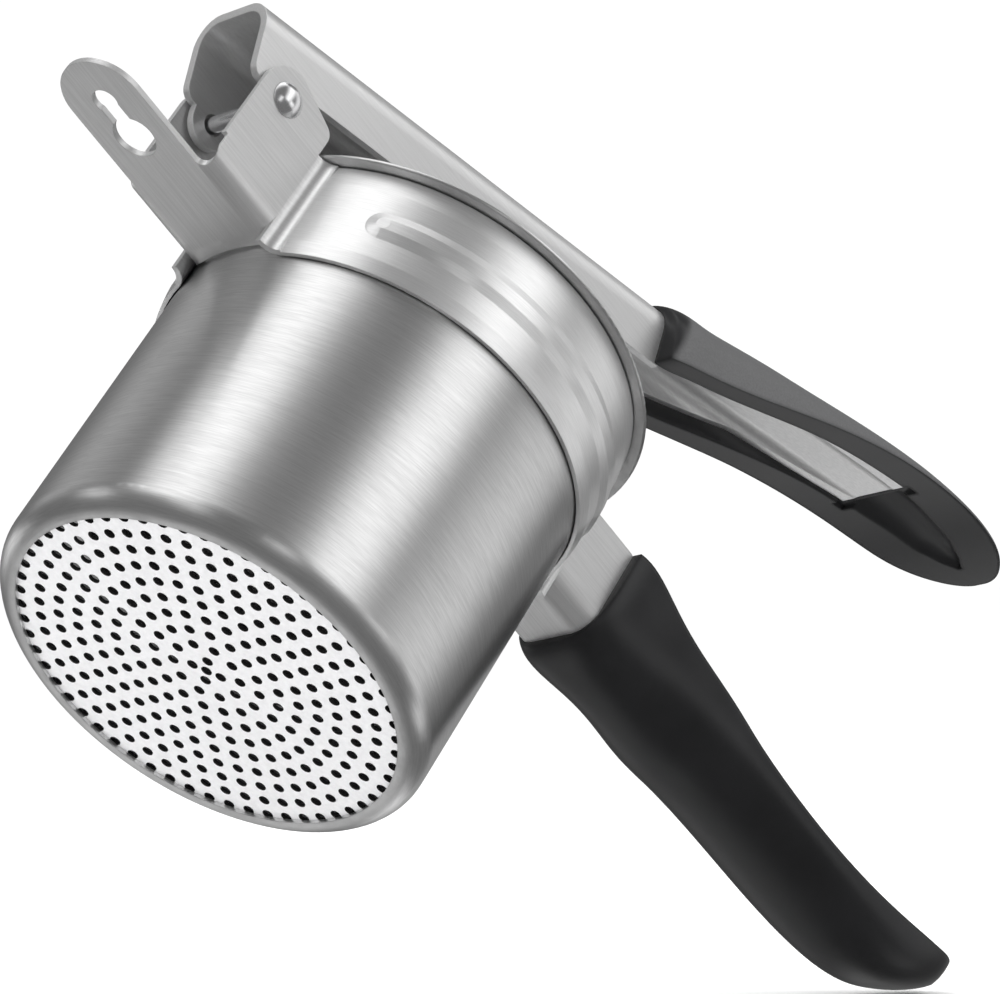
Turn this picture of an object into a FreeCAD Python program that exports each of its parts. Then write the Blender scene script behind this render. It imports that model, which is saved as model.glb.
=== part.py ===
import FreeCAD, Part
import math
import os

# Potato ricer: a drop-in hopper hangs in a stamped frame, and a hinged lever pushes a plunger
# down into it. All sizes are in millimetres.
# +Z runs up the hopper's axis, +X runs from the hinge to the handles, and Y = 0 is the plane
# of symmetry. The origin is the centre of the hopper's underside.

os.makedirs("parts", exist_ok=True)
V = FreeCAD.Vector

# ---- Driving dimensions -------------------------------------------------------------------

# Hopper: a drawn cup with an open floor and a flat rim that hangs on the collar.
HOPPER_RADIUS = 42.0
HOPPER_HEIGHT = 85.8
HOPPER_WALL = 0.8
HOPPER_CORNER = 4.0
FLOOR_LEDGE = 4.75
RIM_WIDTH = 3.3

# Perforated disc, which lies on the hopper's floor ledge.
DISC_THICKNESS = 0.8
DISC_FIT = 0.1
DISC_BEAD_RADIUS = 0.9
DISC_DEPTH = 4.2
HOLE_DIAMETER = 2.1
HOLE_RING_PITCH = 3.77
HOLE_MARGIN = 0.5
FIRST_HOLE_RING_RADIUS = 2.77
FIRST_RING_HOLES = 4
MORE_HOLES_PER_RING = 6
HOLE_PATTERN_TURN = 91.6

# Frame: one stamping with a collar, two ears, a hanging tab and a tang. Depths are measured
# down from the collar's top edge.
SHEET = 1.2
COLLAR_GAP = 0.3
COLLAR_DEPTH = 22.9
COLLAR_LOWER_CREASE_DEPTH = 19.9
COLLAR_UPPER_CREASE_DEPTH = 4.4
COLLAR_EDGE_SET_IN = 0.45
RIM_SEAT_GAP = 0.3
RIB_DEPTH = 12.1
RIB_CREST = 2.5
RIB_WIDTH = 6.4
RIB_RISE = 0.7
RIB_HINGE_END_ANGLE = 140.5
RIB_TANG_END_ANGLE = 27.0
LEVER_SIDE_GAP = 0.8
EAR_BEND_RADIUS = 4.0
EAR_HEAD_RADIUS = 6.2
EAR_BACK_RISE = 2.75
EAR_BACK_CORNER = 2.5
EAR_RIM_GAP = 0.35
WEB_DEPTH = 20.2
WEB_CORNER = 4.0
WEB_HOPPER_GAP = 0.6
TAB_LENGTH = 25.6
TAB_HALF_WIDTH = 8.65
TAB_NOTCH_RADIUS = 1.7
KEYHOLE_RADIUS = 4.3
KEYHOLE_FROM_EAR = 8.2
HOOK_SLOT_RADIUS = 2.6
HOOK_SLOT_FROM_EAR = 16.6
TANG_HALF_WIDTH = 10.0
TANG_DEPTH = 19.7
TANG_CORNER = 5.0
TANG_BEND_RADIUS = 3.5
TANG_PAST_GRIP_START = 7.0
TANG_END_WALL = 4.0
TANG_TAIL_HALF_WIDTH = 7.5
TANG_TAIL_CORNER = 4.0
TANG_TAIL_HEIGHT = 4.5
TANG_TAIL_LENGTH = 50.0
TANG_TAIL_ANGLE = 5.0

# Hinge: its place behind the collar and above the collar's top edge, and its rivet.
PIVOT_SET_BACK = 11.93
PIVOT_RISE = 2.55
PIVOT_RADIUS = 1.6
PIVOT_HOLE_SLACK = 0.5
PIVOT_HEAD_RADIUS = 3.4
PIVOT_HEAD_HEIGHT = 1.7
PIN_FIT = 0.05

# Lever: a channel that opens downward. Its own directions are "along" the channel from the
# pivot and "up" square to it. It stands open by the rest angle.
LEVER_REST_ANGLE = 16.2
LEVER_SHEET = 1.6
LEVER_HALF_WIDTH = 10.0
LEVER_TOP = 17.5
LEVER_CORNER = 6.0
LEVER_HEEL = 9.3
LEVER_WALL_EDGE = 4.1
LEVER_LOBE_RADIUS = 4.8
LEVER_BEND_PAST_GRIP = 5.0
LEVER_TAIL_LENGTH = 67.0
LEVER_TAIL_ANGLE = 2.4
LEVER_TAIL_WALL = 1.8
LEVER_WALL_STEP = 3.4
LEVER_WALL_TAPER = 38.0
LEVER_WALL_RISE = 8.2
LEVER_HEEL_TUCK = 2.05
LEVER_HEEL_DROP = 0.96

# Plunger: a flanged plate on a riveted strap, which swings on a pin in the lever.
PLUNGER_PIN_LEAD = 2.33
PLUNGER_PIN_UP = 5.5
PLUNGER_PIN_RADIUS = 1.75
PLUNGER_PIN_HEAD_RADIUS = 2.8
PLUNGER_PIN_HEAD_HEIGHT = 0.8
PLUNGER_PIN_LOBE = 4.8
PLATE_SIDE_GAP = 2.4
PLATE_THICKNESS = 1.0
PLATE_FLANGE = 4.5
PLATE_CORNER = 2.5
PLATE_CLOSED_GAP = 0.6
STRAP_SHEET = 1.8
STRAP_WIDTH = 14.0
STRAP_SIDE_GAP = 0.5
STRAP_CORNER = 4.0
STRAP_EYE_RADIUS = 5.0
STRAP_RIVET_SPACING = 7.0
STRAP_RIVET_RADIUS = 1.5
STRAP_RIVET_HEAD_RADIUS = 2.4
STRAP_RIVET_HEAD_HEIGHT = 1.0
LEVER_RIM_CLEARANCE = 0.45
SWING_RATIO = 0.30

# Grips: moulded sleeves, hollow on the side that faces the other grip. Each row is (share of
# the grip's length, back beyond the steel's back, rim beyond the steel's open edge, half
# width beyond the steel's, squareness of the arch). The steel's back is the lever's top or
# the tang's underside, and its open edge is where the lever's wall or the tang's wall ends
# at the front of the grip.
GRIP_WALL = 6.5
GRIP_SKIN = 1.6
STEEL_END_GAP = 2.0
SCOOP_LEAST_DEPTH = 0.5
SCOOP_LEAST_HALF_WIDTH = 1.0
SCOOP_NOSE_SHARE = 0.55
UPPER_GRIP_PAST_COLLAR = 0.07
UPPER_GRIP_LENGTH = 106.6
UPPER_GRIP_SHAPE = [
    (0.000, 1.2, 0.3, 4.6, 2.6),
    (0.015, 1.7, 0.3, 5.4, 2.6),
    (0.085, 2.3, 1.8, 5.4, 2.6),
    (0.150, 3.1, 3.2, 5.4, 2.5),
    (0.244, 4.2, 5.5, 5.8, 2.4),
    (0.338, 4.8, 8.0, 6.4, 2.25),
    (0.432, 5.0, 10.3, 6.8, 2.25),
    (0.526, 5.0, 12.1, 7.1, 2.25),
    (0.620, 4.7, 13.3, 7.1, 2.25),
    (0.713, 4.1, 13.8, 6.7, 2.25),
    (0.806, 3.1, 13.6, 5.8, 2.25),
    (0.872, 2.5, 13.1, 4.2, 2.25),
    (0.929, 2.0, 12.8, 1.3, 2.25),
    (0.966, 1.8, 12.7, -1.9, 2.25),
    (0.991, 1.6, 12.7, -5.4, 2.25),
    (1.000, 1.4, 12.7, -8.6, 2.25),
]
LOWER_GRIP_PAST_COLLAR = 12.9
LOWER_GRIP_LENGTH = 116.2
LOWER_GRIP_SHAPE = [
    (0.000, -1.4, -0.1, 2.2, 3.5),
    (0.015, -2.0, -0.2, 2.8, 3.5),
    (0.083, -2.2, -1.6, 3.0, 3.1),
    (0.238, -1.2, -5.9, 3.8, 2.4),
    (0.410, 1.2, -8.8, 3.9, 2.25),
    (0.582, 2.1, -9.4, 3.6, 2.25),
    (0.754, 2.4, -7.5, 3.0, 2.25),
    (0.857, 4.5, -4.5, 1.6, 2.25),
    (0.926, 9.3, -1.5, -0.6, 2.25),
    (0.963, 13.0, 0.6, -3.0, 2.25),
    (0.988, 16.2, 2.0, -6.0, 2.25),
    (1.000, 18.0, 2.6, -8.6, 2.25),
]

# ---- Sizes worked out from the driving dimensions ------------------------------------------

FLOOR_OPENING_RADIUS = HOPPER_RADIUS - FLOOR_LEDGE
RIM_RADIUS = HOPPER_RADIUS + RIM_WIDTH
DISC_TOP = HOPPER_WALL + DISC_DEPTH
COLLAR_INNER = HOPPER_RADIUS + COLLAR_GAP
COLLAR_OUTER = COLLAR_INNER + SHEET
COLLAR_MID = COLLAR_INNER + SHEET / 2
COLLAR_TOP = HOPPER_HEIGHT - HOPPER_WALL - RIM_SEAT_GAP
COLLAR_BOTTOM = COLLAR_TOP - COLLAR_DEPTH
COLLAR_LOWER_CREASE = COLLAR_TOP - COLLAR_LOWER_CREASE_DEPTH
COLLAR_UPPER_CREASE = COLLAR_TOP - COLLAR_UPPER_CREASE_DEPTH
RIB_HEIGHT = COLLAR_TOP - RIB_DEPTH
PIVOT_X = -(COLLAR_OUTER + PIVOT_SET_BACK)
PIVOT_Z = COLLAR_TOP + PIVOT_RISE
EAR_INNER = LEVER_HALF_WIDTH + LEVER_SIDE_GAP
EAR_HALF_WIDTH = EAR_INNER + SHEET
EAR_MID = EAR_INNER + SHEET / 2
EAR_FRONT = PIVOT_X - EAR_HEAD_RADIUS
WEB_BOTTOM = COLLAR_TOP - WEB_DEPTH
TANG_BOTTOM = COLLAR_TOP - TANG_DEPTH
TANG_MID = TANG_HALF_WIDTH - SHEET / 2
LOWER_GRIP_START = COLLAR_OUTER + LOWER_GRIP_PAST_COLLAR
TANG_END = LOWER_GRIP_START + TANG_PAST_GRIP_START
TANG_TAIL_END = LOWER_GRIP_START + TANG_TAIL_LENGTH
UPPER_GRIP_START = COLLAR_OUTER - PIVOT_X + UPPER_GRIP_PAST_COLLAR
LEVER_BEND_FROM_PIVOT = UPPER_GRIP_START + LEVER_BEND_PAST_GRIP
LEVER_INNER_HALF_WIDTH = LEVER_HALF_WIDTH - LEVER_SHEET
PLUNGER_PIN_ALONG = -PIVOT_X - PLUNGER_PIN_LEAD
PLATE_RADIUS = HOPPER_RADIUS - HOPPER_WALL - PLATE_SIDE_GAP
STRAP_HALF_SPAN = LEVER_INNER_HALF_WIDTH - STRAP_SIDE_GAP


# ---- Outline helpers -------------------------------------------------------------------------

def place_xz(u, v):
    return V(u, 0, v)


def place_yz(u, v):
    return V(0, u, v)


def place_xy(u, v):
    return V(u, v, 0)


def rounded_face(corners, place):
    """Face inside a polygon whose corners are (u, v, radius)."""
    points = [V(u, v, 0) for u, v, radius in corners]
    runs = []
    for index, (u, v, radius) in enumerate(corners):
        corner = points[index]
        back = (points[index - 1] - corner).normalize()
        ahead = (points[(index + 1) % len(points)] - corner).normalize()
        if radius <= 0:
            runs.append((corner, None, corner))
            continue
        half_angle = back.getAngle(ahead) / 2
        middle_way = (back + ahead).normalize()
        reach = radius / math.tan(half_angle)
        depth = radius / math.sin(half_angle) - radius
        runs.append((corner + back * reach, corner + middle_way * depth, corner + ahead * reach))
    edges = []
    for index, (start, middle, end) in enumerate(runs):
        if middle is not None:
            arc = Part.Arc(*[place(p.x, p.y) for p in (start, middle, end)])
            edges.append(arc.toShape())
        following = runs[(index + 1) % len(runs)][0]
        if (following - end).Length > 1e-6:
            edges.append(Part.makeLine(place(end.x, end.y), place(following.x, following.y)))
    return Part.Face(Part.Wire(Part.__sortEdges__(edges)))


def extrude_y(corners, half_width):
    face = rounded_face(corners, place_xz)
    face.translate(V(0, -half_width, 0))
    return face.extrude(V(0, 2 * half_width, 0))


def extrude_x(corners, x_start, x_end):
    face = rounded_face(corners, place_yz)
    face.translate(V(x_start, 0, 0))
    return face.extrude(V(x_end - x_start, 0, 0))


def extrude_z(corners, z_start, z_end):
    face = rounded_face(corners, place_xy)
    face.translate(V(0, 0, z_start))
    return face.extrude(V(0, 0, z_end - z_start))


def revolve_z(corners, start_angle=0, turn=360):
    face = rounded_face(corners, place_xz)
    solid = face.revolve(V(0, 0, 0), V(0, 0, 1), turn)
    solid.rotate(V(0, 0, 0), V(0, 0, 1), start_angle)
    return solid


def cylinder_y(radius, half_length, x, z):
    return Part.makeCylinder(radius, 2 * half_length, V(x, -half_length, z), V(0, 1, 0))


def mirrored(shape):
    return shape.mirror(V(0, 0, 0), V(0, 1, 0))


def both_sides(shape):
    return shape.fuse(mirrored(shape))


def single(shape):
    """The one solid of a finished boolean, with its coplanar faces merged."""
    cleaned = shape.removeSplitter()
    solids = cleaned.Solids
    if len(solids) != 1:
        raise ValueError("expected one solid, got %d" % len(solids))
    return solids[0]


def save(shape, node):
    shape.exportStep("parts/%s.step" % node)


# ---- Hopper and disc ---------------------------------------------------------------------------

def hopper_cup():
    inner = HOPPER_RADIUS - HOPPER_WALL
    rim_bottom = HOPPER_HEIGHT - HOPPER_WALL
    rim_round = HOPPER_WALL * 0.45
    return single(revolve_z([
        (FLOOR_OPENING_RADIUS, 0, 0),
        (HOPPER_RADIUS, 0, HOPPER_CORNER),
        (HOPPER_RADIUS, rim_bottom, COLLAR_GAP),
        (RIM_RADIUS, rim_bottom, rim_round),
        (RIM_RADIUS, HOPPER_HEIGHT, rim_round),
        (inner, HOPPER_HEIGHT, HOPPER_WALL),
        (inner, HOPPER_WALL, HOPPER_CORNER - HOPPER_WALL),
        (FLOOR_OPENING_RADIUS, HOPPER_WALL, 0),
    ]))


def hole_centres():
    centres = [(0, 0)]
    room = FLOOR_OPENING_RADIUS - HOLE_MARGIN - FIRST_HOLE_RING_RADIUS
    for ring in range(int(room / HOLE_RING_PITCH) + 1):
        radius = FIRST_HOLE_RING_RADIUS + ring * HOLE_RING_PITCH
        count = FIRST_RING_HOLES + ring * MORE_HOLES_PER_RING
        first = HOLE_PATTERN_TURN if ring else HOLE_PATTERN_TURN + 180 / count
        for number in range(count):
            angle = math.radians(first + number * 360 / count)
            centres.append((radius * math.cos(angle), radius * math.sin(angle)))
    return centres


def fine_disc():
    outer = HOPPER_RADIUS - HOPPER_WALL - DISC_FIT
    bottom = HOPPER_WALL
    top = bottom + DISC_THICKNESS
    corner = HOPPER_CORNER - HOPPER_WALL - DISC_FIT
    flat_radius = outer - corner
    inner = outer - DISC_THICKNESS
    bead_height = DISC_TOP - DISC_BEAD_RADIUS
    dished_rim = revolve_z([
        (flat_radius, bottom, 0),
        (outer, bottom, corner),
        (outer, bead_height, 0),
        (inner, bead_height, 0),
        (inner, top, corner - DISC_THICKNESS),
        (flat_radius, top, 0),
    ])
    bead = Part.makeTorus(outer - DISC_BEAD_RADIUS, DISC_BEAD_RADIUS)
    bead.translate(V(0, 0, bead_height))
    outline = Part.Wire(Part.makeCircle(flat_radius, V(0, 0, bottom)))
    holes = [
        Part.Wire(Part.makeCircle(HOLE_DIAMETER / 2, V(x, y, bottom)))
        for x, y in hole_centres()
    ]
    plate = Part.Face([outline] + holes).extrude(V(0, 0, DISC_THICKNESS))
    return single(plate.fuse([dished_rim, bead]))


# ---- Frame -----------------------------------------------------------------------------------------

def bend_centre(side_mid, bend_radius):
    """Centre of the outward bend that joins a straight side to the collar, for +X."""
    height = side_mid + bend_radius
    return math.sqrt((COLLAR_MID + bend_radius) ** 2 - height ** 2), height


def arc_band(centre, bend_radius, start_angle, turn, bottom, top):
    """Bent strip of sheet about a vertical axis."""
    outer = bend_radius + SHEET / 2
    inner = bend_radius - SHEET / 2
    band = rounded_face([(inner, bottom, 0), (outer, bottom, 0), (outer, top, 0), (inner, top, 0)], place_xz)
    solid = band.revolve(V(0, 0, 0), V(0, 0, 1), turn)
    solid.rotate(V(0, 0, 0), V(0, 0, 1), start_angle)
    solid.translate(V(centre[0], centre[1], 0))
    return solid


def collar_side():
    ear_x, ear_y = bend_centre(EAR_MID, EAR_BEND_RADIUS)
    tang_x, tang_y = bend_centre(TANG_MID, TANG_BEND_RADIUS)
    ear_angle = math.degrees(math.atan2(ear_y, ear_x))
    tang_angle = math.degrees(math.atan2(tang_y, tang_x))
    edge = COLLAR_OUTER - COLLAR_EDGE_SET_IN
    wall = revolve_z([
        (COLLAR_INNER, COLLAR_BOTTOM, 0),
        (edge, COLLAR_BOTTOM, 0),
        (COLLAR_OUTER, COLLAR_LOWER_CREASE, 0),
        (COLLAR_OUTER, COLLAR_UPPER_CREASE, 0),
        (edge, COLLAR_TOP, 0),
        (COLLAR_INNER, COLLAR_TOP, 0),
    ], tang_angle, 180 - ear_angle - tang_angle)
    ear_bend = arc_band((-ear_x, ear_y), EAR_BEND_RADIUS, -90, 90 - ear_angle, COLLAR_BOTTOM, COLLAR_TOP)
    tang_bend = arc_band((tang_x, tang_y), TANG_BEND_RADIUS, 180 + tang_angle, 90 - tang_angle,
                         COLLAR_BOTTOM, COLLAR_TOP)
    return wall.fuse([stiffening_rib(), ear_bend, tang_bend])


def stiffening_rib():
    crest = COLLAR_OUTER + RIB_RISE
    root = COLLAR_OUTER - SHEET / 2
    half_crest = RIB_CREST / 2
    half_width = RIB_WIDTH / 2
    section = [
        (root, RIB_HEIGHT - half_width, 0),
        (COLLAR_OUTER, RIB_HEIGHT - half_width, 0),
        (crest, RIB_HEIGHT - half_crest, 0),
        (crest, RIB_HEIGHT + half_crest, 0),
        (COLLAR_OUTER, RIB_HEIGHT + half_width, 0),
        (root, RIB_HEIGHT + half_width, 0),
    ]
    run = revolve_z(section, RIB_TANG_END_ANGLE, RIB_HINGE_END_ANGLE - RIB_TANG_END_ANGLE)
    ends = []
    for angle in (RIB_TANG_END_ANGLE, RIB_HINGE_END_ANGLE):
        end = Part.makeCylinder(half_width, COLLAR_OUTER - root, V(root, 0, RIB_HEIGHT), V(1, 0, 0))
        dome = Part.makeCone(half_width, half_crest, RIB_RISE, V(COLLAR_OUTER, 0, RIB_HEIGHT), V(1, 0, 0))
        whole = end.fuse(dome)
        whole.rotate(V(0, 0, 0), V(0, 0, 1), angle)
        ends.append(whole)
    return run.fuse(ends)


def channel(half_width, bottom, corner, sheet, top, x_start, x_end):
    """Channel that opens upward and runs along X."""
    outer = extrude_x([
        (-half_width, bottom, corner),
        (half_width, bottom, corner),
        (half_width, top, 0),
        (-half_width, top, 0),
    ], x_start, x_end)
    inner_half = half_width - sheet
    margin = 1.0
    inner = extrude_x([
        (-inner_half, bottom + sheet, corner - sheet),
        (inner_half, bottom + sheet, corner - sheet),
        (inner_half, top + margin, 0),
        (-inner_half, top + margin, 0),
    ], x_start - margin, x_end + margin)
    return outer.cut(inner)


def clevis():
    """The ears and the web between them."""
    ear_x, ear_y = bend_centre(EAR_MID, EAR_BEND_RADIUS)
    ear_top = PIVOT_Z + EAR_HEAD_RADIUS
    rim_reach = RIM_RADIUS + EAR_RIM_GAP
    ear_back = -math.sqrt(rim_reach ** 2 - EAR_INNER ** 2)
    body = channel(EAR_HALF_WIDTH, WEB_BOTTOM, WEB_CORNER, SHEET, ear_top, EAR_FRONT, -HOPPER_RADIUS / 2)
    side_view = extrude_y([
        (EAR_FRONT, WEB_BOTTOM, 0),
        (-HOPPER_RADIUS / 2, WEB_BOTTOM, 0),
        (-HOPPER_RADIUS / 2, WEB_BOTTOM + WEB_CORNER, 0),
        (-ear_x, WEB_BOTTOM + WEB_CORNER, 0),
        (-ear_x, COLLAR_TOP, 0),
        (ear_back, COLLAR_TOP, 0),
        (ear_back, PIVOT_Z + EAR_BACK_RISE, EAR_BACK_CORNER),
        (PIVOT_X, ear_top, 0),
        (EAR_FRONT, ear_top, EAR_HEAD_RADIUS * 0.96),
    ], EAR_HALF_WIDTH + 1)
    body = body.common(side_view)
    hopper_room = Part.makeCylinder(HOPPER_RADIUS + WEB_HOPPER_GAP, PIVOT_Z, V(0, 0, 0))
    return body.cut(hopper_room)


def hanging_tab():
    """Flat tongue with a keyhole, in one with the web, and the notches beside it."""
    top = WEB_BOTTOM + SHEET
    tip = EAR_FRONT - TAB_LENGTH
    tongue = extrude_z([
        (EAR_FRONT + WEB_CORNER, -TAB_HALF_WIDTH, 0),
        (tip, -TAB_HALF_WIDTH, TAB_HALF_WIDTH * 0.999),
        (tip, TAB_HALF_WIDTH, TAB_HALF_WIDTH * 0.999),
        (EAR_FRONT + WEB_CORNER, TAB_HALF_WIDTH, 0),
    ], WEB_BOTTOM, top)
    return tongue


def keyhole():
    """Cutter for the hanging hole: a large eye that narrows to a hook slot."""
    large_x = EAR_FRONT - KEYHOLE_FROM_EAR
    small_x = EAR_FRONT - HOOK_SLOT_FROM_EAR
    depth = SHEET + 2
    base = WEB_BOTTOM - 1
    large = Part.makeCylinder(KEYHOLE_RADIUS, depth, V(large_x, 0, base))
    small = Part.makeCylinder(HOOK_SLOT_RADIUS, depth, V(small_x, 0, base))
    neck_half = HOOK_SLOT_RADIUS * 0.85
    neck = Part.makeBox(large_x - small_x, 2 * neck_half, depth, V(small_x, -neck_half, base))
    return large.fuse([small, neck])


def tab_notches():
    """Cutters that round the inside corners between the tongue and the ears."""
    notches = []
    for side in (-1, 1):
        y = side * (TAB_HALF_WIDTH + TAB_NOTCH_RADIUS)
        notch = Part.makeCylinder(TAB_NOTCH_RADIUS, 2 * WEB_CORNER, V(EAR_FRONT, y, WEB_BOTTOM - 1))
        notches.append(notch)
    return notches


def set_on_tail(shape):
    """Carry a shape from the tang's straight run to the slope of its tail."""
    moved = shape.copy()
    moved.rotate(V(LOWER_GRIP_START, 0, TANG_BOTTOM), V(0, 1, 0), -TANG_TAIL_ANGLE)
    return moved


def tang_tail():
    """Narrow tail of the tang, inside the grip, that follows the grip's back upward."""
    return set_on_tail(channel(TANG_TAIL_HALF_WIDTH, TANG_BOTTOM, TANG_TAIL_CORNER, SHEET,
                               TANG_BOTTOM + TANG_TAIL_HEIGHT, LOWER_GRIP_START, TANG_TAIL_END))


def tang_channel():
    tang_x, tang_y = bend_centre(TANG_MID, TANG_BEND_RADIUS)
    body = channel(TANG_HALF_WIDTH, TANG_BOTTOM, TANG_CORNER, SHEET, COLLAR_TOP, HOPPER_RADIUS / 2, TANG_END)
    side_view = extrude_y([
        (HOPPER_RADIUS / 2, TANG_BOTTOM, 0),
        (TANG_END, TANG_BOTTOM, 0),
        (TANG_END, TANG_BOTTOM + TANG_END_WALL, 0),
        (LOWER_GRIP_START + 1, COLLAR_TOP, 3.0),
        (tang_x, COLLAR_TOP, 0),
        (tang_x, TANG_BOTTOM + TANG_CORNER, 0),
        (HOPPER_RADIUS / 2, TANG_BOTTOM + TANG_CORNER, 0),
    ], TANG_HALF_WIDTH + 1)
    hopper_room = Part.makeCylinder(HOPPER_RADIUS + WEB_HOPPER_GAP, PIVOT_Z, V(0, 0, 0))
    return body.common(side_view).fuse(tang_tail()).cut(hopper_room)


def frame():
    pivot_hole = cylinder_y(PIVOT_RADIUS + PIN_FIT, EAR_HALF_WIDTH + 1, PIVOT_X, PIVOT_Z)
    body = both_sides(collar_side()).fuse([clevis(), hanging_tab(), tang_channel()])
    return single(body.cut([pivot_hole, keyhole()] + tab_notches()))


# ---- Hinge pin ----------------------------------------------------------------------------------------

def domed_head(radius, height, face_y, x, z):
    """Rivet head on the face at y = face_y, as the cap of a sphere."""
    sphere_radius = (radius ** 2 + height ** 2) / (2 * height)
    side = 1 if face_y > 0 else -1
    centre = V(x, face_y + side * (height - sphere_radius), z)
    ball = Part.makeSphere(sphere_radius, centre)
    disc = Part.makeCylinder(radius + 1, height + 1, V(x, face_y, z), V(0, side, 0))
    return ball.common(disc)


def riveted_pin(radius, half_span, head_radius, head_height, x, z):
    shaft = cylinder_y(radius, half_span, x, z)
    heads = [domed_head(head_radius, head_height, side * half_span, x, z) for side in (-1, 1)]
    return single(shaft.fuse(heads))


def pivot_rivet():
    return riveted_pin(PIVOT_RADIUS, EAR_HALF_WIDTH + PIN_FIT, PIVOT_HEAD_RADIUS, PIVOT_HEAD_HEIGHT,
                       PIVOT_X, PIVOT_Z)


# ---- Lever ----------------------------------------------------------------------------------------------

def set_on_lever(shape):
    """Carry a shape from the lever's own directions to its place at rest."""
    moved = shape.copy()
    moved.rotate(V(0, 0, 0), V(0, 1, 0), -LEVER_REST_ANGLE)
    moved.translate(V(PIVOT_X, 0, PIVOT_Z))
    return moved


def lever_tail_point(distance, up):
    """Point on the bent tail: distance past the bend, and height above the lever's top."""
    angle = math.radians(LEVER_TAIL_ANGLE)
    along = LEVER_BEND_FROM_PIVOT + distance * math.cos(angle) - up * math.sin(angle)
    return along, LEVER_TOP + distance * math.sin(angle) + up * math.cos(angle)


def lever_envelope(inset, underside):
    """The lever's outer form, filled in, drawn in by an inset and reaching down to underside."""
    top = LEVER_TOP - inset
    end_along, end_up = lever_tail_point(LEVER_TAIL_LENGTH, -inset)
    overhang = inset * 2
    block = extrude_y([
        (-LEVER_HEEL - overhang, underside, 0),
        (end_along + overhang, underside, 0),
        (end_along + overhang, end_up + overhang * math.tan(math.radians(LEVER_TAIL_ANGLE)), 0),
        (LEVER_BEND_FROM_PIVOT, top, 60.0),
        (-LEVER_HEEL - overhang, top, 0),
    ], LEVER_HALF_WIDTH - inset)
    top_edges = [
        edge for edge in block.Edges
        if edge.BoundBox.ZMin > top - 1 and edge.BoundBox.YLength < 0.01
    ]
    return block.makeFillet(LEVER_CORNER - inset, top_edges)


def lever_side_view():
    """Everything that the side of the lever covers, walls included."""
    tail_end_along, tail_end_up = lever_tail_point(LEVER_TAIL_LENGTH, 0)
    wall_end_up = lever_tail_point(LEVER_TAIL_LENGTH, -LEVER_TAIL_WALL)[1]
    high = tail_end_up + LEVER_CORNER
    main = extrude_y([
        (-LEVER_HEEL, high, 0),
        (-LEVER_HEEL + LEVER_HEEL_TUCK, -LEVER_HEEL_DROP, 3.0),
        (0, LEVER_WALL_EDGE, 0),
        (UPPER_GRIP_START + 1, LEVER_WALL_EDGE, 0),
        (UPPER_GRIP_START + 2, LEVER_WALL_EDGE + LEVER_WALL_STEP, 0),
        (UPPER_GRIP_START + LEVER_WALL_TAPER, LEVER_WALL_EDGE + LEVER_WALL_STEP + LEVER_WALL_RISE, 30.0),
        (tail_end_along, wall_end_up, 0),
        (tail_end_along, high, 0),
    ], LEVER_HALF_WIDTH + 1)
    pivot_lobe = cylinder_y(LEVER_LOBE_RADIUS, LEVER_HALF_WIDTH + 1, 0, 0)
    pivot_neck = extrude_y([
        (-LEVER_LOBE_RADIUS, 0, 0),
        (LEVER_LOBE_RADIUS, 0, 0),
        (LEVER_LOBE_RADIUS + 3.5, LEVER_WALL_EDGE + 1, 0),
        (-LEVER_LOBE_RADIUS, LEVER_WALL_EDGE + 1, 0),
    ], LEVER_HALF_WIDTH + 1)
    pin_lobe = cylinder_y(PLUNGER_PIN_LOBE, LEVER_HALF_WIDTH + 1, PLUNGER_PIN_ALONG, PLUNGER_PIN_UP)
    return main.fuse([pivot_lobe, pivot_neck, pin_lobe])


def lever():
    low = -LEVER_TOP
    shell = lever_envelope(0, low).cut(lever_envelope(LEVER_SHEET, low - 1))
    shell = shell.common(lever_side_view())
    pivot_hole = cylinder_y(PIVOT_RADIUS + PIVOT_HOLE_SLACK, LEVER_HALF_WIDTH + 1, 0, 0)
    pin_hole = cylinder_y(PLUNGER_PIN_RADIUS + PIN_FIT, LEVER_HALF_WIDTH + 1,
                          PLUNGER_PIN_ALONG, PLUNGER_PIN_UP)
    return set_on_lever(single(shell.cut([pivot_hole, pin_hole])))


def plunger_pin():
    return set_on_lever(riveted_pin(PLUNGER_PIN_RADIUS, LEVER_HALF_WIDTH + PIN_FIT, PLUNGER_PIN_HEAD_RADIUS,
                                    PLUNGER_PIN_HEAD_HEIGHT, PLUNGER_PIN_ALONG, PLUNGER_PIN_UP))


# ---- Plunger ---------------------------------------------------------------------------------------------

def closed_angle():
    """Angle above the horizontal at which the lever's walls come down on the hopper's rim."""
    reach = RIM_RADIUS - PIVOT_X
    drop = HOPPER_HEIGHT + LEVER_RIM_CLEARANCE - PIVOT_Z
    span = math.hypot(reach, drop)
    return math.degrees(math.atan2(drop, reach) - math.asin(LEVER_WALL_EDGE / span))


def pin_place(lever_angle):
    angle = math.radians(lever_angle)
    x = PIVOT_X + PLUNGER_PIN_ALONG * math.cos(angle) - PLUNGER_PIN_UP * math.sin(angle)
    z = PIVOT_Z + PLUNGER_PIN_ALONG * math.sin(angle) + PLUNGER_PIN_UP * math.cos(angle)
    return x, z


def plunger_height():
    """Height of the pin above the underside of the plate."""
    pin_x, pin_z = pin_place(closed_angle())
    return pin_z - DISC_TOP - PLATE_CLOSED_GAP


def set_on_plunger(shape):
    """Carry a shape, drawn upright about the pin, to its place at rest."""
    pin_x, pin_z = pin_place(LEVER_REST_ANGLE)
    swing = SWING_RATIO * (LEVER_REST_ANGLE - closed_angle())
    moved = shape.copy()
    moved.rotate(V(0, 0, 0), V(0, 1, 0), -swing)
    moved.translate(V(pin_x, 0, pin_z))
    return moved


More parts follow.
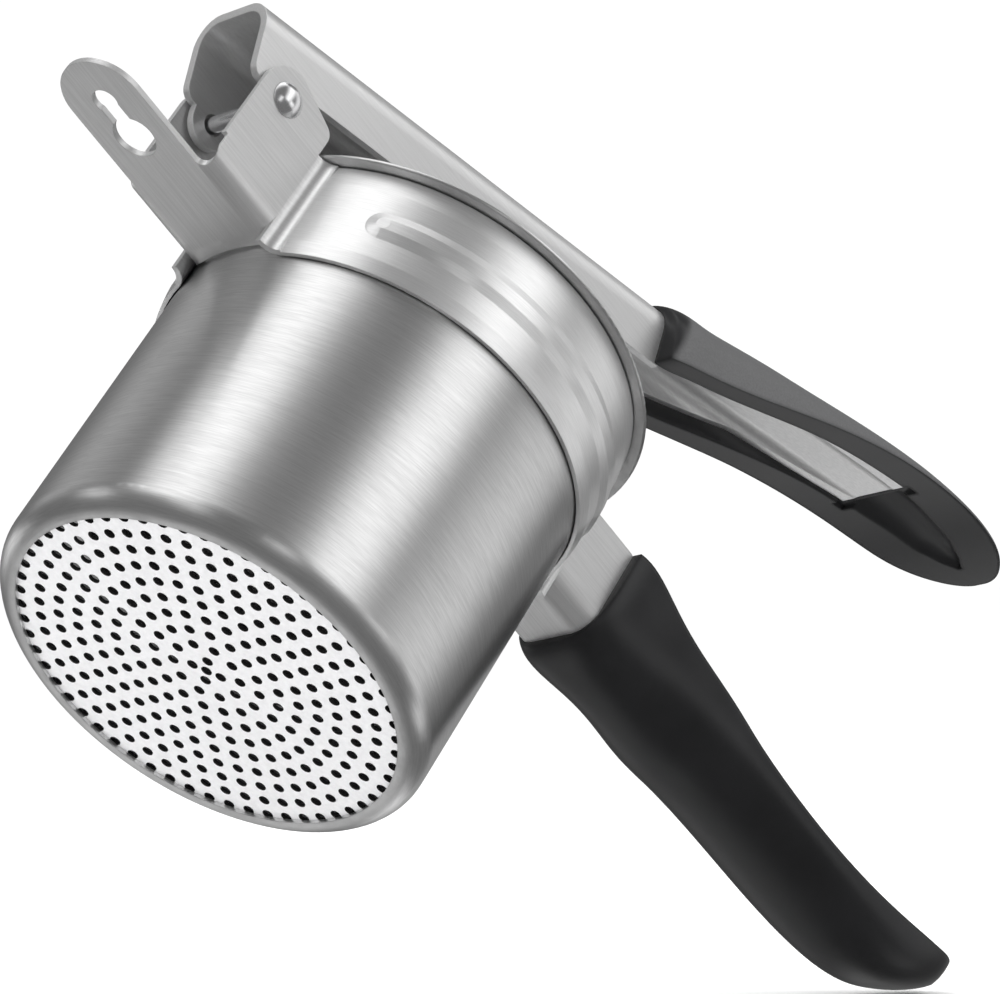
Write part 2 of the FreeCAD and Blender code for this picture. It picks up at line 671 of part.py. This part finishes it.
def rivet_places():
    return [V(side * STRAP_RIVET_SPACING / 2, 0, 0) for side in (-1, 1)]


def plunger_plate():
    bottom = -plunger_height()
    inner = PLATE_RADIUS - PLATE_THICKNESS
    edge_round = PLATE_THICKNESS * 0.45
    plate = revolve_z([
        (0, bottom, 0),
        (PLATE_RADIUS, bottom, PLATE_CORNER),
        (PLATE_RADIUS, bottom + PLATE_FLANGE, edge_round),
        (inner, bottom + PLATE_FLANGE, edge_round),
        (inner, bottom + PLATE_THICKNESS, PLATE_CORNER - PLATE_THICKNESS),
        (0, bottom + PLATE_THICKNESS, 0),
    ])
    holes = [
        Part.makeCylinder(STRAP_RIVET_RADIUS + PIN_FIT, 4 * PLATE_THICKNESS, place + V(0, 0, bottom - 1))
        for place in rivet_places()
    ]
    return set_on_plunger(single(plate.cut(holes)))


def plunger_strap():
    foot = -plunger_height() + PLATE_THICKNESS
    body = channel(STRAP_HALF_SPAN, foot, STRAP_CORNER, STRAP_SHEET, STRAP_EYE_RADIUS,
                   -STRAP_WIDTH / 2, STRAP_WIDTH / 2)
    side_view = extrude_y([
        (-STRAP_WIDTH / 2, foot, 0),
        (STRAP_WIDTH / 2, foot, 0),
        (STRAP_WIDTH / 2, -STRAP_EYE_RADIUS * 2.5, 12.0),
        (STRAP_EYE_RADIUS, STRAP_EYE_RADIUS, STRAP_EYE_RADIUS * 0.98),
        (-STRAP_EYE_RADIUS, STRAP_EYE_RADIUS, STRAP_EYE_RADIUS * 0.98),
        (-STRAP_WIDTH / 2, -STRAP_EYE_RADIUS * 2.5, 12.0),
    ], STRAP_HALF_SPAN + 1)
    body = body.common(side_view)
    pin_hole = cylinder_y(PLUNGER_PIN_RADIUS + PIN_FIT, STRAP_HALF_SPAN + 1, 0, 0)
    rivet_holes = [
        Part.makeCylinder(STRAP_RIVET_RADIUS + PIN_FIT, 4 * STRAP_SHEET, place + V(0, 0, foot - 1))
        for place in rivet_places()
    ]
    return set_on_plunger(single(body.cut([pin_hole] + rivet_holes)))


def strap_rivets():
    bottom = -plunger_height()
    grip = PLATE_THICKNESS + STRAP_SHEET
    rivets = []
    for place in rivet_places():
        shaft = Part.makeCylinder(STRAP_RIVET_RADIUS, grip + PIN_FIT, place + V(0, 0, bottom))
        head = Part.makeCylinder(STRAP_RIVET_HEAD_RADIUS, STRAP_RIVET_HEAD_HEIGHT,
                                 place + V(0, 0, bottom + grip + PIN_FIT))
        head = head.makeFillet(STRAP_RIVET_HEAD_HEIGHT * 0.6, [head.Edges[0]])
        rivets.append(single(shaft.fuse(head)))
    return set_on_plunger(Part.makeCompound(rivets))


# ---- Grips ------------------------------------------------------------------------------------------------

def arch_wire(station, base, crown, half_width, squareness):
    """Section of a grip: a flat rim line closed by an arch, square to X."""
    steps = 12
    points = []
    for step in range(steps + 1):
        angle = math.pi * step / steps
        across = math.copysign(abs(math.cos(angle)) ** (2 / squareness), math.cos(angle))
        rise = abs(math.sin(angle)) ** (2 / squareness)
        points.append(V(station, half_width * across, base + (crown - base) * rise))
    arch = Part.BSplineCurve()
    arch.interpolate(points)
    rim = Part.makeLine(points[-1], points[0])
    return Part.Wire([arch.toShape(), rim])


def grip_body(start, length, shape):
    wires = [
        arch_wire(start + share * length, rim, back, half, squareness)
        for share, back, rim, half, squareness in shape
    ]
    return Part.makeLoft(wires, True, False)


def shape_at(shape, share):
    """Back, rim, half width and squareness of a grip between its listed sections."""
    for low, high in zip(shape, shape[1:]):
        if share <= high[0]:
            part = (share - low[0]) / (high[0] - low[0])
            return [a + part * (b - a) for a, b in zip(low[1:], high[1:])]
    return list(shape[-1][1:])


def grip_scoop(start, length, shape, first_share):
    """Cutter for the hollow behind the steel: the grip's form drawn in by its wall, with a round nose."""
    last_share = 1 - GRIP_WALL / length
    steps = 8
    wires = []
    for step in range(steps + 1):
        run = math.sin(math.pi / 2 * step / steps)
        share = first_share + (last_share - first_share) * run
        back, rim, half, squareness = shape_at(shape, share)
        outward = math.copysign(1, back - rim)
        crown = back - outward * GRIP_SKIN
        base = rim - outward * GRIP_WALL
        if (crown - rim) * outward < SCOOP_LEAST_DEPTH:
            crown = rim + outward * SCOOP_LEAST_DEPTH
        nose = max(0, (run - SCOOP_NOSE_SHARE) / (1 - SCOOP_NOSE_SHARE))
        inner_half = (half - GRIP_WALL) * math.sqrt(1 - nose ** 2)
        inner_half = max(inner_half, SCOOP_LEAST_HALF_WIDTH)
        wires.append(arch_wire(start + share * length, base, crown, inner_half, squareness))
    return Part.makeLoft(wires, True, False)


def grip_sections(shape, back_height, rim_height, half_width):
    """The rows of a grip's shape, carried from the steel to heights and widths."""
    return [
        (share, back_height + back, rim_height + rim, half_width + side, squareness)
        for share, back, rim, side, squareness in shape
    ]


def upper_grip():
    sections = grip_sections(UPPER_GRIP_SHAPE, LEVER_TOP, LEVER_WALL_EDGE, LEVER_HALF_WIDTH)
    body = grip_body(UPPER_GRIP_START, UPPER_GRIP_LENGTH, sections)
    steel = lever_envelope(0, -LEVER_TOP)
    steel_end, steel_top = lever_tail_point(LEVER_TAIL_LENGTH, 0)
    gap = extrude_y([
        (steel_end - 1, -LEVER_TOP, 0),
        (steel_end + STEEL_END_GAP, -LEVER_TOP, 0),
        (steel_end + STEEL_END_GAP, steel_top - LEVER_SHEET, 0),
        (steel_end - 1, steel_top - LEVER_SHEET, 0),
    ], LEVER_HALF_WIDTH)
    first_share = (steel_end + STEEL_END_GAP / 2 - UPPER_GRIP_START) / UPPER_GRIP_LENGTH
    scoop = grip_scoop(UPPER_GRIP_START, UPPER_GRIP_LENGTH, sections, first_share)
    return set_on_lever(single(body.cut([steel, gap, scoop])))


def lower_grip():
    sections = grip_sections(LOWER_GRIP_SHAPE, TANG_BOTTOM, COLLAR_TOP, TANG_HALF_WIDTH)
    body = grip_body(LOWER_GRIP_START, LOWER_GRIP_LENGTH, sections)
    above = COLLAR_TOP + 5
    straight = trough(TANG_HALF_WIDTH, TANG_CORNER, above, HOPPER_RADIUS, TANG_END)
    tail = set_on_tail(trough(TANG_TAIL_HALF_WIDTH, TANG_TAIL_CORNER, above, LOWER_GRIP_START, TANG_TAIL_END))
    first_share = (TANG_TAIL_END - 2 - LOWER_GRIP_START) / LOWER_GRIP_LENGTH
    scoop = grip_scoop(LOWER_GRIP_START, LOWER_GRIP_LENGTH, sections, first_share)
    return single(body.cut([straight, tail, scoop]))


def trough(half_width, corner, above, x_start, x_end):
    """Cutter with the outer form of a channel that stands on the tang's underside."""
    return extrude_x([
        (-half_width, TANG_BOTTOM, corner),
        (half_width, TANG_BOTTOM, corner),
        (half_width, above, 0),
        (-half_width, above, 0),
    ], x_start, x_end)


NODES = {
    "hopper_cup": hopper_cup,
    "fine_disc": fine_disc,
    "frame_collar": frame,
    "pivot_rivet": pivot_rivet,
    "lever_arm": lever,
    "plunger_pin": plunger_pin,
    "plunger_plate": plunger_plate,
    "plunger_strap": plunger_strap,
    "strap_rivets": strap_rivets,
    "upper_grip": upper_grip,
    "lower_grip": lower_grip,
}

for node, make in NODES.items():
    save(make(), node)

print("closed lever angle %.3f" % closed_angle())
print("plunger height %.3f" % plunger_height())
print("plunger pin at rest %.4f %.4f" % pin_place(LEVER_REST_ANGLE))
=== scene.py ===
"""Potato ricer: camera, finishes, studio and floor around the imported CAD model."""

import math

import bpy
from mathutils import Matrix, Vector


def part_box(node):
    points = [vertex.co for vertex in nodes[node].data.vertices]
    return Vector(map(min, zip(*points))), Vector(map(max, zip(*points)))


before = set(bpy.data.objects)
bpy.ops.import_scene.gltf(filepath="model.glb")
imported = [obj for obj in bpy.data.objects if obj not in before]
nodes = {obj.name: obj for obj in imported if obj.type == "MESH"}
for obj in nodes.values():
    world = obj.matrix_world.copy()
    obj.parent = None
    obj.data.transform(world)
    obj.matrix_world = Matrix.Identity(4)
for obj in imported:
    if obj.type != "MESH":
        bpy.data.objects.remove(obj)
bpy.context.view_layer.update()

# Camera ---------------------------------------------------------------------
CAMERA_PLACE = Vector((-0.339786, -0.648284, -0.466398))
CAMERA_RIGHT = Vector((0.58022915, -0.69203392, 0.4294452))
CAMERA_UP = Vector((-0.70853809, -0.16888384, 0.68516569))
SENSOR_WIDTH = 36.0
FOCAL_LENGTH = 180.0
CLIP_START = 0.01
CLIP_END = 50.0


def add_camera():
    data = bpy.data.cameras.new("camera")
    data.sensor_width = SENSOR_WIDTH
    data.lens = FOCAL_LENGTH
    data.clip_start = CLIP_START
    data.clip_end = CLIP_END
    camera = bpy.data.objects.new("camera", data)
    back = CAMERA_RIGHT.cross(CAMERA_UP)
    turn = Matrix((CAMERA_RIGHT, CAMERA_UP, back)).transposed().to_4x4()
    camera.matrix_world = Matrix.Translation(CAMERA_PLACE) @ turn
    bpy.context.scene.collection.objects.link(camera)
    bpy.context.scene.camera = camera


# Node helpers ---------------------------------------------------------------
def new_material(name):
    material = bpy.data.materials.new(name)
    material.use_nodes = True
    tree = material.node_tree
    tree.nodes.clear()
    output = tree.nodes.new("ShaderNodeOutputMaterial")
    return material, tree, output


def add(tree, kind, **settings):
    node = tree.nodes.new(kind)
    for key, value in settings.items():
        setattr(node, key, value)
    return node


def math_node(tree, operation, first, second=None):
    node = add(tree, "ShaderNodeMath", operation=operation)
    for socket, value in zip(node.inputs, (first, second)):
        if isinstance(value, (int, float)):
            socket.default_value = value
        elif value is not None:
            tree.links.new(value, socket)
    return node.outputs[0]


def spread(tree, value, low, high):
    """Maps a 0..1 value to low..high."""
    node = add(tree, "ShaderNodeMapRange")
    node.inputs["To Min"].default_value = low
    node.inputs["To Max"].default_value = high
    tree.links.new(value, node.inputs["Value"])
    return node.outputs["Result"]


def noise(tree, vector, scale, detail, rough=0.5):
    node = add(tree, "ShaderNodeTexNoise")
    node.inputs["Scale"].default_value = scale
    node.inputs["Detail"].default_value = detail
    node.inputs["Roughness"].default_value = rough
    tree.links.new(vector, node.inputs["Vector"])
    return node.outputs["Fac"]


def object_place(tree):
    return add(tree, "ShaderNodeTexCoord").outputs["Object"]


def object_normal(tree):
    return separate(tree, add(tree, "ShaderNodeTexCoord").outputs["Normal"])


def stretched(tree, place, along):
    """Object coordinates squeezed so that noise draws out into lines along one axis."""
    node = add(tree, "ShaderNodeMapping")
    node.inputs["Scale"].default_value = along
    tree.links.new(place, node.inputs["Vector"])
    return node.outputs["Vector"]


def separate(tree, vector):
    node = add(tree, "ShaderNodeSeparateXYZ")
    tree.links.new(vector, node.inputs[0])
    return node.outputs


def distance_from_axis(tree, x, y):
    x_square = math_node(tree, "MULTIPLY", x, x)
    y_square = math_node(tree, "MULTIPLY", y, y)
    return math_node(tree, "SQRT", math_node(tree, "ADD", x_square, y_square))


def round_the_axis(tree, place, turn_scale, radius_scale, height_scale):
    """Cylinder coordinates about Z, so that noise draws out into lines round the cup."""
    x, y, z = separate(tree, place)
    angle = math_node(tree, "ARCTAN2", y, x)
    radius = distance_from_axis(tree, x, y)
    join = add(tree, "ShaderNodeCombineXYZ")
    tree.links.new(math_node(tree, "MULTIPLY", angle, turn_scale), join.inputs[0])
    tree.links.new(math_node(tree, "MULTIPLY", radius, radius_scale), join.inputs[1])
    tree.links.new(math_node(tree, "MULTIPLY", z, height_scale), join.inputs[2])
    return join.outputs[0]


# Finishes -------------------------------------------------------------------
METAL_EDGE = 0.0003
HOLE_EDGE = 0.00008
PLASTIC_EDGE = 0.0012
EDGE_SAMPLES = 4
METAL_RELIEF = 0.0001
PLASTIC_RELIEF = 0.00005
STEEL_CLOUD_SCALE = 45.0
LINE_SHARE = 0.8
SHINE_SWING = 0.08
ALONG_THE_AXIS = 0.25
GRAIN_SCALE = 2600.0
PLASTIC_CLOUD_SCALE = 60.0
PLASTIC_CONTRAST = 0.2
PLASTIC_SWING = 0.05
PANEL_CONTRAST = 0.1
COLLAR_OUTSIDE = (0.0445, 0.0455)
DOWN_FACING = (0.1, 0.5)
OUTER_FACING = (0.25, 0.6)
STEEL_TONES = (0.35, 0.65)
PLASTIC_TONES = (0.3, 0.7)
ROUND_LINES = (8.0, 300.0, 4600.0)
STRAIGHT_LINES = (70.0, 2600.0, 2600.0)
FINE_GRAIN = (900.0, 900.0, 900.0)


def blend(tree, share, first, second):
    node = add(tree, "ShaderNodeMix", data_type="FLOAT")
    tree.links.new(share, node.inputs[0])
    tree.links.new(first, node.inputs[2])
    tree.links.new(second, node.inputs[3])
    return node.outputs[0]


def step_at(tree, value, low, high):
    """0 below low, 1 above high, smooth between."""
    node = add(tree, "ShaderNodeMapRange", interpolation_type="SMOOTHSTEP")
    node.inputs["From Min"].default_value = low
    node.inputs["From Max"].default_value = high
    tree.links.new(value, node.inputs["Value"])
    return node.outputs[0]


def relief(tree, shader, height, strength, distance, edge):
    """Fine relief over edges that are softened by a small radius."""
    soft = add(tree, "ShaderNodeBevel", samples=EDGE_SAMPLES)
    soft.inputs["Radius"].default_value = edge
    bump = add(tree, "ShaderNodeBump")
    bump.inputs["Strength"].default_value = strength
    bump.inputs["Distance"].default_value = distance
    tree.links.new(height, bump.inputs["Height"])
    tree.links.new(soft.outputs[0], bump.inputs["Normal"])
    tree.links.new(bump.outputs[0], shader.inputs["Normal"])


def two_tones(tree, value, colour, contrast, low, high):
    """Runs from a darker to a lighter tone of a colour as the value goes from low to high."""
    ramp = add(tree, "ShaderNodeValToRGB")
    dark, light = ramp.color_ramp.elements
    dark.position, light.position = low, high
    dark.color = (*[c * (1.0 - contrast) for c in colour], 1.0)
    light.color = (*[min(1.0, c * (1.0 + contrast)) for c in colour], 1.0)
    tree.links.new(value, ramp.inputs[0])
    return ramp.outputs[0]


def mix_colours(tree, share, first, second):
    node = add(tree, "ShaderNodeMix", data_type="RGBA")
    tree.links.new(share, node.inputs[0])
    tree.links.new(first, node.inputs[6])
    tree.links.new(second, node.inputs[7])
    return node.outputs[2]


def steel(name, colour, shine, lines, contrast, raised,
          metal=1.0, anisotropy=0.0, edge=METAL_EDGE, painted_shade=None, flat_shine=None):
    """Stainless steel: the brushed lines vary its colour and roughness, and raise it slightly.

    The colour given for faces that don't look down, such as the walls of punched holes, is painted
    shade: a near-black that stands for the dark they fall into.
    flat_shine is the roughness of the flat parts outside the collar.
    """
    material, tree, output = new_material(name)
    shader = add(tree, "ShaderNodeBsdfPrincipled")
    shader.inputs["Metallic"].default_value = metal
    place = object_place(tree)
    fine = lines(tree, place)
    cloud = noise(tree, place, STEEL_CLOUD_SCALE, 3.0)
    line_part = math_node(tree, "MULTIPLY", fine, LINE_SHARE)
    cloud_part = math_node(tree, "MULTIPLY", cloud, 1.0 - LINE_SHARE)
    tone = math_node(tree, "ADD", line_part, cloud_part)
    tint = two_tones(tree, tone, colour, contrast, *STEEL_TONES)
    # Painted shade: faces that don't look down get a near-black colour in place of the steel.
    if painted_shade:
        shadow = add(tree, "ShaderNodeRGB")
        shadow.outputs[0].default_value = (*painted_shade, 1.0)
        tint = mix_colours(tree, looking_down(tree), shadow.outputs[0], tint)
    tree.links.new(tint, shader.inputs["Base Color"])
    dullness = spread(tree, tone, shine + SHINE_SWING, shine - SHINE_SWING)
    if flat_shine:
        flat = spread(tree, tone, flat_shine + SHINE_SWING, flat_shine - SHINE_SWING)
        dullness = blend(tree, outside_collar(tree, place), dullness, flat)
    tree.links.new(dullness, shader.inputs["Roughness"])
    relief(tree, shader, fine, raised, METAL_RELIEF, edge)
    if anisotropy:
        shader.inputs["Anisotropic"].default_value = anisotropy
        shader.inputs["Anisotropic Rotation"].default_value = ALONG_THE_AXIS
        tangent = add(tree, "ShaderNodeTangent", direction_type="RADIAL", axis="Z")
        tree.links.new(tangent.outputs[0], shader.inputs["Tangent"])
    tree.links.new(shader.outputs[0], output.inputs["Surface"])
    return material


def looking_down(tree):
    """1 on faces that look down, 0 on upright and upper ones."""
    return step_at(tree, math_node(tree, "MULTIPLY", object_normal(tree)[2], -1.0), *DOWN_FACING)


def lines_round(tree, place):
    return noise(tree, round_the_axis(tree, place, *ROUND_LINES), 1.0, 4.0, 0.6)


def lines_along_x(tree, place):
    return noise(tree, stretched(tree, place, STRAIGHT_LINES), 1.0, 4.0, 0.6)


def lines_fine(tree, place):
    return noise(tree, stretched(tree, place, FINE_GRAIN), 1.0, 4.0, 0.6)


def outside_collar(tree, place):
    """0 on the collar, 1 on the ears, the tab and the tang."""
    x, y, _ = separate(tree, place)
    return step_at(tree, distance_from_axis(tree, x, y), *COLLAR_OUTSIDE)


def lines_frame(tree, place):
    """Round the collar, and along the ears, the tab and the tang."""
    round_lines = lines_round(tree, place)
    straight_lines = lines_along_x(tree, place)
    return blend(tree, outside_collar(tree, place), round_lines, straight_lines)


def plastic(name, colour, shine, grain, gloss, panel=None):
    """Moulded black plastic with a fine grain.

    panel is the (colour, roughness) of the matte, grained outer faces; their lighter grey is partly
    the panel's own tone and partly painted sheen.
    """
    material, tree, output = new_material(name)
    shader = add(tree, "ShaderNodeBsdfPrincipled")
    shader.inputs["Specular IOR Level"].default_value = gloss
    place = object_place(tree)
    fine = noise(tree, place, GRAIN_SCALE, 3.0)
    cloud = noise(tree, place, PLASTIC_CLOUD_SCALE, 4.0)
    tint = two_tones(tree, cloud, colour, PLASTIC_CONTRAST, *PLASTIC_TONES)
    dullness = spread(tree, cloud, shine - PLASTIC_SWING, shine + PLASTIC_SWING)
    if panel:
        panel_tone_and_sheen, panel_shine = panel
        # Partly painted sheen: the outer faces get a lighter grey than the black plastic, standing
        # for the grey sheen of a matte grained panel.
        outer = outer_faces(tree, place)
        panel_tint_and_sheen = two_tones(tree, fine, panel_tone_and_sheen, PANEL_CONTRAST, *STEEL_TONES)
        tint = mix_colours(tree, outer, tint, panel_tint_and_sheen)
        rough = spread(tree, fine, panel_shine - PLASTIC_SWING, panel_shine + PLASTIC_SWING)
        dullness = blend(tree, outer, dullness, rough)
    tree.links.new(tint, shader.inputs["Base Color"])
    tree.links.new(dullness, shader.inputs["Roughness"])
    relief(tree, shader, fine, grain, PLASTIC_RELIEF, PLASTIC_EDGE)
    tree.links.new(shader.outputs[0], output.inputs["Surface"])
    return material


UPPER_GRIP_LIP = 0.0032
LIP_FADE = 0.002


def outer_faces(tree, place):
    """1 on the upper grip's outer sides and back, behind its polished lip.

    It is 0 on the lip, the rim and the hollow.
    """
    lip_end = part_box("upper_grip")[0].x + UPPER_GRIP_LIP
    _, across, upward = object_normal(tree)
    x, y, _ = separate(tree, place)
    side = math_node(tree, "MULTIPLY", math_node(tree, "SIGN", y), across)
    facing = math_node(tree, "MAXIMUM", side, upward)
    behind_lip = step_at(tree, x, lip_end, lip_end + LIP_FADE)
    return math_node(tree, "MULTIPLY", step_at(tree, facing, *OUTER_FACING), behind_lip)


def dress():
    """Gives every CAD node its finish."""
    cup = steel("cup_steel", (0.78, 0.78, 0.78), 0.32, lines_round, 0.09, 0.10,
                anisotropy=0.85)
    # The walls of the disc's punched holes get painted shade, a near-black.
    disc = steel("disc_steel", (0.92, 0.92, 0.93), 0.42, lines_fine, 0.04, 0.03,
                 metal=0.38, edge=HOLE_EDGE, painted_shade=(0.03, 0.03, 0.03))
    sheet = steel("frame_steel", (0.82, 0.82, 0.82), 0.34, lines_frame, 0.06, 0.07,
                  metal=0.90, anisotropy=0.75, flat_shine=0.52)
    arm = steel("lever_steel", (0.80, 0.80, 0.80), 0.36, lines_along_x, 0.06, 0.07, metal=0.90)
    press = steel("plunger_steel", (0.76, 0.76, 0.76), 0.32, lines_round, 0.06, 0.08)
    rivet = steel("rivet_steel", (0.85, 0.85, 0.86), 0.20, lines_fine, 0.03, 0.02)
    lower = plastic("lower_grip_black", (0.008, 0.008, 0.009), 0.36, 0.10, 0.38)
    # The upper grip's lighter grey panel colour is partly painted sheen.
    upper = plastic("upper_grip_black", (0.009, 0.009, 0.010), 0.34, 0.10, 0.4,
                    panel=((0.085, 0.085, 0.087), 0.6))
    finishes = {
        "hopper_cup": cup,
        "fine_disc": disc,
        "frame_collar": sheet,
        "lever_arm": arm,
        "plunger_plate": press,
        "plunger_strap": press,
        "pivot_rivet": rivet,
        "plunger_pin": rivet,
        "strap_rivets": rivet,
        "upper_grip": upper,
        "lower_grip": lower,
    }
    for name, finish in finishes.items():
        slots = nodes[name].data.materials
        slots.clear()
        slots.append(finish)


# Studio ---------------------------------------------------------------------
STUDIO_CENTRE = Vector((0.04, 0.0, 0.06))
STUDIO_RADIUS = 2.0
STUDIO_GREY = 0.17
STUDIO_WHITE = 1.05
FLOOR_HALF_SIZE = 4.0
FLOOR_GAP = 0.001
FLOOR_COLOUR = (0.97, 0.97, 0.97, 1.0)


def flat_sheet(name, half_width, half_height):
    corners = [
        (-half_width, -half_height, 0),
        (half_width, -half_height, 0),
        (half_width, half_height, 0),
        (-half_width, half_height, 0),
    ]
    mesh = bpy.data.meshes.new(name)
    mesh.from_pydata(corners, [], [(0, 1, 2, 3)])
    return bpy.data.objects.new(name, mesh)


def turn_to(thing, direction):
    """Turns an object's own Z to a direction."""
    thing.rotation_mode = "QUATERNION"
    thing.rotation_quaternion = direction.to_track_quat("Z", "Y")


def mix_shaders(tree, output, share, first, second):
    mix = add(tree, "ShaderNodeMixShader")
    tree.links.new(share, mix.inputs[0])
    tree.links.new(first, mix.inputs[1])
    tree.links.new(second, mix.inputs[2])
    tree.links.new(mix.outputs[0], output.inputs["Surface"])


def softbox(name, azimuth, elevation, width, height, level, feather):
    """A glowing card that only shows in reflections. Angles in degrees, seen from the object.

    feather is the share of the half width over which the glow fades out at each side.
    """
    turn, rise = math.radians(azimuth), math.radians(elevation)
    out = Vector((math.cos(turn) * math.cos(rise), math.sin(turn) * math.cos(rise), math.sin(rise)))
    half_width = STUDIO_RADIUS * math.tan(math.radians(width / 2))
    half_height = STUDIO_RADIUS * math.tan(math.radians(height / 2))
    card = flat_sheet(name, half_width, half_height)
    turn_to(card, out)
    card.location = STUDIO_CENTRE + out * STUDIO_RADIUS
    material, tree, output = new_material(name)
    glow = add(tree, "ShaderNodeEmission")
    clear = add(tree, "ShaderNodeBsdfTransparent")
    glow.inputs["Color"].default_value = (level, level, level, 1.0)
    along = separate(tree, add(tree, "ShaderNodeTexCoord").outputs["Generated"])[0]
    from_middle = math_node(tree, "ABSOLUTE", math_node(tree, "SUBTRACT", along, 0.5))
    fade = step_at(tree, from_middle, 0.5, 0.5 - feather * 0.5)
    mix_shaders(tree, output, fade, clear.outputs[0], glow.outputs[0])
    card.data.materials.append(material)
    bpy.context.scene.collection.objects.link(card)
    card.visible_camera = False
    card.visible_diffuse = False
    card.visible_shadow = False
    card.visible_transmission = False


def add_world():
    """White to the eye and to soft light, and grey in reflections, where the cards do the work."""
    world = bpy.data.worlds.new("studio")
    world.use_nodes = True
    tree = world.node_tree
    background = tree.nodes["Background"]
    path = add(tree, "ShaderNodeLightPath")
    level = add(tree, "ShaderNodeMapRange")
    level.inputs["To Min"].default_value = STUDIO_WHITE
    level.inputs["To Max"].default_value = STUDIO_GREY
    tree.links.new(path.outputs["Is Glossy Ray"], level.inputs["Value"])
    tree.links.new(level.outputs[0], background.inputs["Strength"])
    background.inputs["Color"].default_value = (1.0, 1.0, 1.0, 1.0)
    bpy.context.scene.world = world


def add_floor():
    """A pale sweep that the lower grip's tip stands on, square to the camera's upright."""
    floor = flat_sheet("floor", FLOOR_HALF_SIZE, FLOOR_HALF_SIZE)
    turn_to(floor, CAMERA_UP)
    points = (v.co for n in nodes.values() for v in n.data.vertices)
    lowest = min(points, key=lambda p: p.dot(CAMERA_UP))
    floor.location = lowest - CAMERA_UP * FLOOR_GAP
    material, tree, output = new_material("floor_white")
    shader = add(tree, "ShaderNodeBsdfPrincipled")
    shader.inputs["Base Color"].default_value = FLOOR_COLOUR
    shader.inputs["Roughness"].default_value = 0.9
    shader.inputs["Specular IOR Level"].default_value = 0.0
    clear = add(tree, "ShaderNodeBsdfTransparent")
    behind = add(tree, "ShaderNodeNewGeometry").outputs["Backfacing"]
    mix_shaders(tree, output, behind, shader.outputs[0], clear.outputs[0])
    floor.data.materials.append(material)
    bpy.context.scene.collection.objects.link(floor)
    floor.visible_glossy = False


def area_light(name, offset, size, power):
    """A round lamp that points at the studio's centre and doesn't show in reflections."""
    data = bpy.data.lights.new(name, "AREA")
    data.shape = "DISK"
    data.size = size
    data.energy = power
    light = bpy.data.objects.new(name, data)
    light.location = STUDIO_CENTRE + offset
    turn_to(light, offset)
    bpy.context.scene.collection.objects.link(light)
    light.visible_glossy = False


# Each card is (name, azimuth, elevation, width, height, level, feather).
CARDS = [
    ("card_left", -178.0, 38.0, 50.0, 75.0, 1.45, 0.9),
    ("card_front", -93.0, 38.0, 47.0, 75.0, 1.35, 0.9),
    ("card_right", -32.0, 38.0, 54.0, 75.0, 0.80, 0.9),
    ("card_far", 32.0, 38.0, 40.0, 75.0, 0.40, 0.9),
    ("card_back", 124.0, 38.0, 42.0, 75.0, 0.45, 0.9),
    ("card_below", 62.0, -34.0, 34.0, 60.0, 0.66, 0.8),
    ("card_grip", -64.0, 8.0, 46.0, 18.0, 1.2, 0.9),
]
LOW_CARD_AZIMUTHS = (-165.0, -120.0, -15.0, 35.0, 95.0, 150.0)
LOW_CARD = (-12.0, 26.0, 26.0, 1.0, 0.9)

add_camera()
add_world()
dress()
for card_sizes in CARDS:
    softbox(*card_sizes)
for number, azimuth in enumerate(LOW_CARD_AZIMUTHS):
    softbox(f"card_low_{number}", azimuth, *LOW_CARD)
area_light("key", CAMERA_UP * 0.9 + CAMERA_RIGHT * -0.3, 0.8, 5.0)
area_light("side", Vector((-0.2, -1.0, 0.35)), 0.5, 3.5)
add_floor()
bpy.context.scene.view_settings.view_transform = "Standard"
